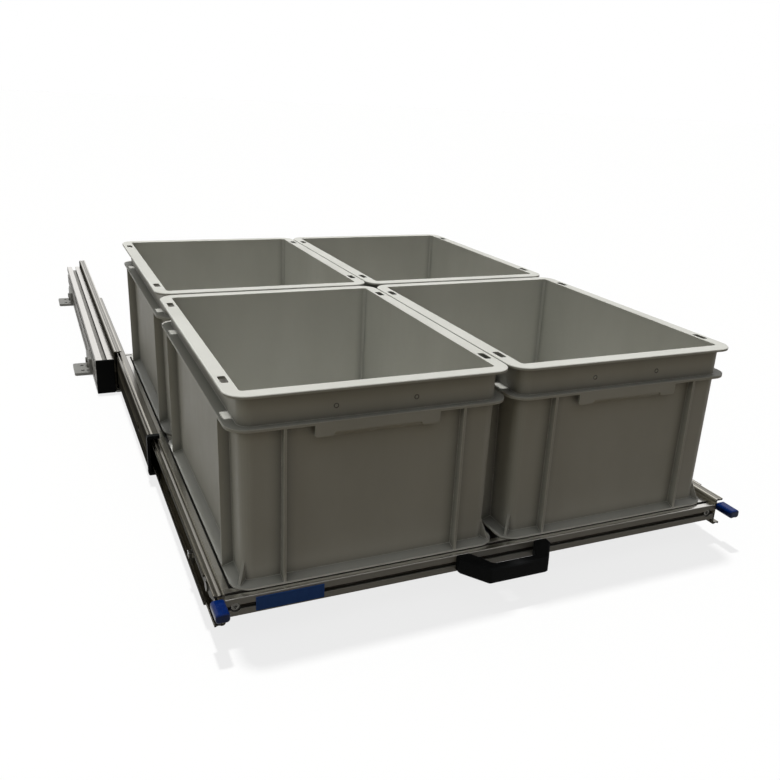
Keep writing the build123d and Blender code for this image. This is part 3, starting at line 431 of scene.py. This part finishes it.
dipLook = {"deep": (0.001, 0.012, 0.085), "bright": (0.002, 0.018, 0.115), "edge": (0.006, 0.034, 0.19),
           "rough": 0.26, "gloss": 0.14, "dimple": 0.25}
enamelLook = {"deep": (0.048, 0.13, 0.46), "bright": (0.06, 0.155, 0.53), "edge": (0.09, 0.20, 0.60),
              "rough": 0.5, "gloss": 0.06, "dimple": 0.08}

binGrey = binPlastic("binGrey", binLook)
eyeShadeGrey = binPlastic("eyeShadeGrey", eyeFinish)
barAluminium = profileAluminium("barAluminium", "X", barLook)
railAluminium = profileAluminium("railAluminium", "Y", barLook)
beamAluminium = profileAluminium("beamAluminium", "Y", beamLook)
memberSteel = slideSteel("memberSteel", memberLook)
cageSteel = slideSteel("cageSteel", cageLook)
leverSteel = slideSteel("leverSteel", leverLook)
castAlloy = bracketAlloy("bracketAlloy", bracketLook)
fastenerSteel = turnedSteel("fastenerSteel", fastenerLook)
ballSteel = turnedSteel("ballSteel", ballLook)
blackMould = blackPlastic("blackPlastic", blackLook)
blueDip = blueFinish("blueDip", dipLook)
blueEnamel = blueFinish("blueEnamel", enamelLook)
print("finishes made")

# which finish each CAD piece wears, by a word in its name; the first match counts
wornBy = [
    ("_bin", binGrey), ("bumper", blackMould), ("beam_cap", blackMould), ("pull_handle", blackMould),
    ("lever_cap", blueDip), ("front_plate", blueEnamel), ("balls", ballSteel), ("ball_cage", cageSteel),
    ("screws", fastenerSteel), ("bolts", fastenerSteel), ("tee_nuts", fastenerSteel),
    ("pivots", fastenerSteel), ("lever", leverSteel), ("member", memberSteel), ("front_bar", barAluminium),
    ("rear_bar", barAluminium), ("middle_bar", barAluminium), ("rail", railAluminium),
    ("bracket", castAlloy), ("beam", beamAluminium),
]
for name, piece in nodes.items():
    finish = next(mat for word, mat in wornBy if word in name)
    piece.data.materials.clear()
    piece.data.materials.append(finish)
print("finishes put on")


# modelling helpers: a new mesh open for editing, and edges rounded once a shape is done
shapeLook = {"smoothAngle": math.radians(40.0), "facing": 0.9, "near": 1e-5}


def openMesh(name, selecting):
    bpy.ops.object.select_all(action="DESELECT")
    piece = bpy.data.objects.new(name, bpy.data.meshes.new(name))
    bpy.context.scene.collection.objects.link(piece)
    bpy.context.view_layer.objects.active = piece
    piece.select_set(True)
    bpy.ops.object.mode_set(mode="EDIT")
    bpy.ops.mesh.select_mode(type=selecting)
    return piece


def roundEdges(piece, width, segments):
    rounding = piece.modifiers.new("rounding", "BEVEL")
    rounding.width = width
    rounding.segments = segments
    rounding.limit_method = "ANGLE"
    bpy.ops.object.modifier_apply(modifier="rounding")
    bpy.ops.object.shade_smooth_by_angle(angle=shapeLook["smoothAngle"])


# end stops under the front ends of the outer slide members: a short foot with a raised lip
stopLook = {"near": 0.3175, "far": 0.3303, "front": -0.4032, "back": -0.372, "plate": 0.0036, "lip": 0.0096,
            "lipThickness": 0.0032, "round": 0.0012, "segments": 3}


def makeEndStop(name, side):
    look = stopLook
    bpy.ops.object.select_all(action="DESELECT")
    place = (side * (look["near"] + look["far"]) / 2, (look["front"] + look["back"]) / 2, look["plate"] / 2)
    bpy.ops.mesh.primitive_cube_add(size=1.0, location=place)
    stop = bpy.context.object
    stop.name = name
    stop.scale = (look["far"] - look["near"], look["back"] - look["front"], look["plate"])
    bpy.ops.object.transform_apply(location=True, rotation=True, scale=True)
    bpy.ops.object.mode_set(mode="EDIT")
    bpy.ops.mesh.select_all(action="SELECT")
    lipBack = look["front"] + look["lipThickness"]
    bpy.ops.mesh.bisect(plane_co=(0.0, lipBack, 0.0), plane_no=(0.0, 1.0, 0.0))
    bpy.ops.mesh.select_all(action="DESELECT")
    shape = bmesh.from_edit_mesh(stop.data)
    for face in shape.faces:
        onTop = face.normal.z > shapeLook["facing"]
        face.select_set(onTop and face.calc_center_median().y < lipBack)
    bmesh.update_edit_mesh(stop.data)
    upwards = (0.0, 0.0, look["lip"] - look["plate"])
    bpy.ops.mesh.extrude_region_move(TRANSFORM_OT_translate={"value": upwards})
    bpy.ops.object.mode_set(mode="OBJECT")
    roundEdges(stop, look["round"], look["segments"])
    stop.data.materials.append(castAlloy)
    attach(stop, "base")


# leaf springs above the lock levers' tails: a flat foot and a leaf that bows down
leafLook = {"foot": 0.018, "thickness": 0.0006, "steps": 8, "taper": 0.93, "round": 0.00015, "segments": 2,
            "pressed": 0.54}


def makeLeafSpring(hand):
    look = leafLook
    low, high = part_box(hand + "_lever_spring")
    middle = (low.x + high.x) / 2
    bpy.ops.object.select_all(action="DESELECT")
    bpy.ops.mesh.primitive_plane_add(size=1.0, location=(middle, high.y - look["foot"] / 2, high.z))
    leaf = bpy.context.object
    leaf.name = hand + "LeafSpring"
    leaf.scale = (high.x - low.x, look["foot"], 1.0)
    bpy.ops.object.transform_apply(location=True, rotation=True, scale=True)
    bpy.ops.object.mode_set(mode="EDIT")
    bpy.ops.mesh.select_mode(type="EDGE")
    bpy.ops.mesh.select_all(action="DESELECT")
    shape = bmesh.from_edit_mesh(leaf.data)
    bend = high.y - look["foot"]
    for edge in shape.edges:
        edge.select_set(all(abs(vert.co.y - bend) < shapeLook["near"] for vert in edge.verts))
    bmesh.update_edit_mesh(leaf.data)
    stride = (bend - low.y) / look["steps"]
    drop = high.z - low.z - look["thickness"]
    for step in range(look["steps"]):
        fall = drop * ((step + 1) ** 2 - step ** 2) / look["steps"] ** 2
        bpy.ops.mesh.extrude_region_move(TRANSFORM_OT_translate={"value": (0.0, -stride, -fall)})
        tip = (middle, bend - stride * (step + 1), high.z)
        bpy.ops.transform.resize(value=(look["taper"], 1.0, 1.0), center_override=tip)
    bpy.ops.object.mode_set(mode="OBJECT")
    sheet = leaf.modifiers.new("sheet", "SOLIDIFY")
    sheet.thickness = look["thickness"]
    sheet.offset = -1.0
    bpy.ops.object.modifier_apply(modifier="sheet")
    roundEdges(leaf, look["round"], look["segments"])
    leaf.data.materials.append(leverSteel)
    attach(leaf, "drawer")
    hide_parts(hand + "_lever_spring")
    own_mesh(leaf)


for hand, side in (("left", -1), ("right", 1)):
    makeEndStop(hand + "EndStop", side)
    makeLeafSpring(hand)
print("end stops and leaf springs made")

# pin eyes in the band between rim and collar, two at each end of a bin: a low ring round a blind hole
eyeLook = {"inset": 0.0092, "down": 0.0215, "apart": 0.0425, "radius": 0.0027, "proud": 0.0004, "deep": 0.002,
           "ring": 0.0009, "well": 0.0012, "sides": 24, "round": 0.00015, "segments": 2}


def makePinEyes(name, node):
    look = eyeLook
    low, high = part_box(node)
    eyes = openMesh(name, "FACE")
    depth = look["proud"] + look["deep"]
    for facing, wall in ((-1.0, low.y + look["inset"]), (1.0, high.y - look["inset"])):
        for sideways in (-1.0, 1.0):
            bpy.ops.mesh.select_all(action="DESELECT")
            place = ((low.x + high.x) / 2 + sideways * look["apart"],
                     wall + facing * (look["proud"] - depth / 2), high.z - look["down"])
            bpy.ops.mesh.primitive_cylinder_add(vertices=look["sides"], radius=look["radius"], depth=depth,
                                                location=place, rotation=(math.pi / 2, 0.0, 0.0))
            shape = bmesh.from_edit_mesh(eyes.data)
            for face in shape.faces:
                face.select_set(face.select and face.normal.y * facing > shapeLook["facing"])
            bmesh.update_edit_mesh(eyes.data)
            bpy.ops.mesh.inset(thickness=look["ring"], depth=0.0)
            inwards = (0.0, -facing * look["well"], 0.0)
            bpy.ops.mesh.extrude_region_move(TRANSFORM_OT_translate={"value": inwards})
    bpy.ops.object.mode_set(mode="OBJECT")
    roundEdges(eyes, look["round"], look["segments"])
    eyes.data.materials.append(eyeShadeGrey)
    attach(eyes, node + "_body")


# drafted plates behind the grip lips, which carry the end walls on up to the collar
gripLook = {"halfWidth": 0.0559, "top": 0.0366, "low": 0.0519, "face": 0.00963, "back": 0.0131,
            "slant": 0.00018, "round": 0.0001, "segments": 2}


def makeGripPlates(name, node):
    look = gripLook
    low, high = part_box(node)
    plates = openMesh(name, "VERT")
    size = (2 * look["halfWidth"], look["back"] - look["face"], look["low"] - look["top"])
    for facing, rim in ((-1.0, low.y), (1.0, high.y)):
        bpy.ops.mesh.select_all(action="DESELECT")
        place = Vector(((low.x + high.x) / 2, rim - facing * (look["face"] + look["back"]) / 2,
                        high.z - (look["top"] + look["low"]) / 2))
        bpy.ops.mesh.primitive_cube_add(size=1.0, location=place)
        bpy.ops.transform.resize(value=size, center_override=place)
        shape = bmesh.from_edit_mesh(plates.data)
        for vert in shape.verts:
            outer = facing * (vert.co.y - place.y) > 0
            vert.select_set(vert.select and outer and vert.co.z > place.z)
        bmesh.update_edit_mesh(plates.data)
        bpy.ops.transform.translate(value=(0.0, facing * look["slant"], 0.0))
    bpy.ops.object.mode_set(mode="OBJECT")
    roundEdges(plates, look["round"], look["segments"])
    plates.data.materials.append(binGrey)
    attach(plates, node + "_body")


for row in ("front", "rear"):
    for hand in ("left", "right"):
        makePinEyes(row + hand.capitalize() + "PinEyes", f"{row}_{hand}_bin")
        makeGripPlates(row + hand.capitalize() + "GripPlates", f"{row}_{hand}_bin")
print("pin eyes and grip plates made")


# 1 where the camera, a reflection or a clear pane looks straight at a surface, 0 for bounced light
def seenDirectly(tree):
    path = tree.nodes.new("ShaderNodeLightPath")
    seen = path.outputs["Is Camera Ray"]
    for ray in ("Is Glossy Ray", "Is Transmission Ray"):
        larger = tree.nodes.new("ShaderNodeMath")
        larger.operation = "MAXIMUM"
        tree.links.new(seen, larger.inputs[0])
        tree.links.new(path.outputs[ray], larger.inputs[1])
        seen = larger.outputs["Value"]
    return seen


# floor: white where it is seen, with a light shadow, and dark to bounced light so that walls stay in shade
floorLook = {"size": 60.0, "seen": (0.18, 0.18, 0.18), "bounce": (0.082, 0.067, 0.043), "glow": 0.8,
             "rough": 0.9, "white": (1.0, 1.0, 1.0, 1.0)}
# deep shade on the floor under the pulled-out bins, where they close it off; seen through their gaps
shadeLook = {"reach": 0.2, "side": (0.25, 0.28), "front": (-1.115, -1.095), "back": (-0.45, -0.42),
             "closed": (0.3, 0.6)}
bpy.ops.object.select_all(action="DESELECT")
bpy.ops.mesh.primitive_plane_add(size=floorLook["size"], location=(0.0, 0.0, 0.0))
floor = bpy.context.object
floor.name = "paleFloor"
floorMat, tree, shader, coords = startMaterial("paleFloor", floorLook["rough"])
shader.inputs["Specular IOR Level"].default_value = 0.0
shader.inputs["Emission Color"].default_value = floorLook["white"]
seen = seenDirectly(tree)
tree.links.new(blendColour(tree, seen, floorLook["bounce"], floorLook["seen"]), shader.inputs["Base Color"])
floorAt = partsOf(tree, coords)
shade = spanOn(tree, openness(tree, shadeLook["reach"], False), 1.0, 0.0, *shadeLook["closed"])
shade = timesOn(tree, shade, spanOn(tree, absoluteOn(tree, floorAt["X"]), 1.0, 0.0, *shadeLook["side"]))
shade = timesOn(tree, shade, spanOn(tree, floorAt["Y"], 0.0, 1.0, *shadeLook["front"]))
shade = timesOn(tree, shade, spanOn(tree, floorAt["Y"], 1.0, 0.0, *shadeLook["back"]))
glow = timesOn(tree, seen, spanOn(tree, shade, floorLook["glow"], 0.0, 0.0, 1.0))
tree.links.new(glow, shader.inputs["Emission Strength"])
floor.data.materials.append(floorMat)

# world: white where it is seen; where it lights, dim and warm at the sides and paler overhead
skyLook = {"seen": (1.0, 1.0, 1.0), "sides": (0.063, 0.0495, 0.029), "above": (0.30, 0.32, 0.34),
           "sidesTo": 0.45, "aboveFrom": 0.95}
world = bpy.data.worlds.new("studio")
bpy.context.scene.world = world
world.use_nodes = True
tree = world.node_tree
sky = tree.nodes["Background"]
skyHeight = partsOf(tree, tree.nodes.new("ShaderNodeTexCoord").outputs["Generated"])["Z"]
lights = rampOn(tree, skyHeight, [(skyLook["sidesTo"], skyLook["sides"]),
                                  (skyLook["aboveFrom"], skyLook["above"])])
tree.links.new(blendColour(tree, seenDirectly(tree), lights, skyLook["seen"]), sky.inputs["Color"])

# lamps: an even light from above and a little behind, left out of reflections, and a weak panel at the left
overheadLook = {"strength": 2.95, "softness": 4.0, "colour": (1.0, 1.0, 0.985), "back": 13.0, "left": 0.0}
fillLook = {"place": (-2.6, -1.6, 1.3), "aim": (0.0, -0.7, 0.15), "size": 1.4, "watts": 4.4,
            "colour": (0.95, 1.0, 0.9)}
overhead = bpy.data.lights.new("overhead", "SUN")
overhead.energy = overheadLook["strength"]
overhead.angle = math.radians(overheadLook["softness"])
overhead.color = overheadLook["colour"]
overheadHolder = bpy.data.objects.new("overhead", overhead)
overheadHolder.visible_glossy = False
bpy.context.scene.collection.objects.link(overheadHolder)
overheadHolder.rotation_euler = [math.radians(-overheadLook[way]) for way in ("back", "left")] + [0.0]
fill = bpy.data.lights.new("leftFill", "AREA")
fill.shape = "SQUARE"
fill.size = fillLook["size"]
fill.energy = fillLook["watts"]
fill.color = fillLook["colour"]
fillHolder = bpy.data.objects.new("leftFill", fill)
bpy.context.scene.collection.objects.link(fillHolder)
fillHolder.location = fillLook["place"]
toRack = Vector(fillLook["aim"]) - Vector(fillLook["place"])
fillHolder.rotation_euler = toRack.to_track_quat("-Z", "Y").to_euler()
print("stage lit")

# camera at the photograph's angle, for a picture of 780 by 780
cameraLook = {"azimuth": -24.82, "elevation": 19.05, "roll": 2.91, "place": (-0.4514, -1.8427, 0.5164),
              "focal": 833.0, "centre": (401.0, 381.0), "picture": 780.0, "sensor": 36.0}
azimuth, elevation, roll = (math.radians(cameraLook[angle]) for angle in ("azimuth", "elevation", "roll"))
back = Vector((math.sin(azimuth) * math.cos(elevation), -math.cos(azimuth) * math.cos(elevation),
               math.sin(elevation)))
right = Vector((math.cos(azimuth), math.sin(azimuth), 0.0))
up = back.cross(right)
tiltedRight = right * math.cos(roll) + up * math.sin(roll)
tiltedUp = up * math.cos(roll) - right * math.sin(roll)
lens = bpy.data.cameras.new("camera")
lens.sensor_width = cameraLook["sensor"]
lens.lens = cameraLook["sensor"] * cameraLook["focal"] / cameraLook["picture"]
lens.shift_x = 0.5 - cameraLook["centre"][0] / cameraLook["picture"]
lens.shift_y = cameraLook["centre"][1] / cameraLook["picture"] - 0.5
camera = bpy.data.objects.new("camera", lens)
bpy.context.scene.collection.objects.link(camera)
turn = Matrix((tiltedRight, tiltedUp, back)).transposed().to_4x4()
camera.matrix_world = Matrix.Translation(cameraLook["place"]) @ turn
bpy.context.scene.camera = camera
bpy.context.scene.view_settings.view_transform = "Standard"
print("camera set")
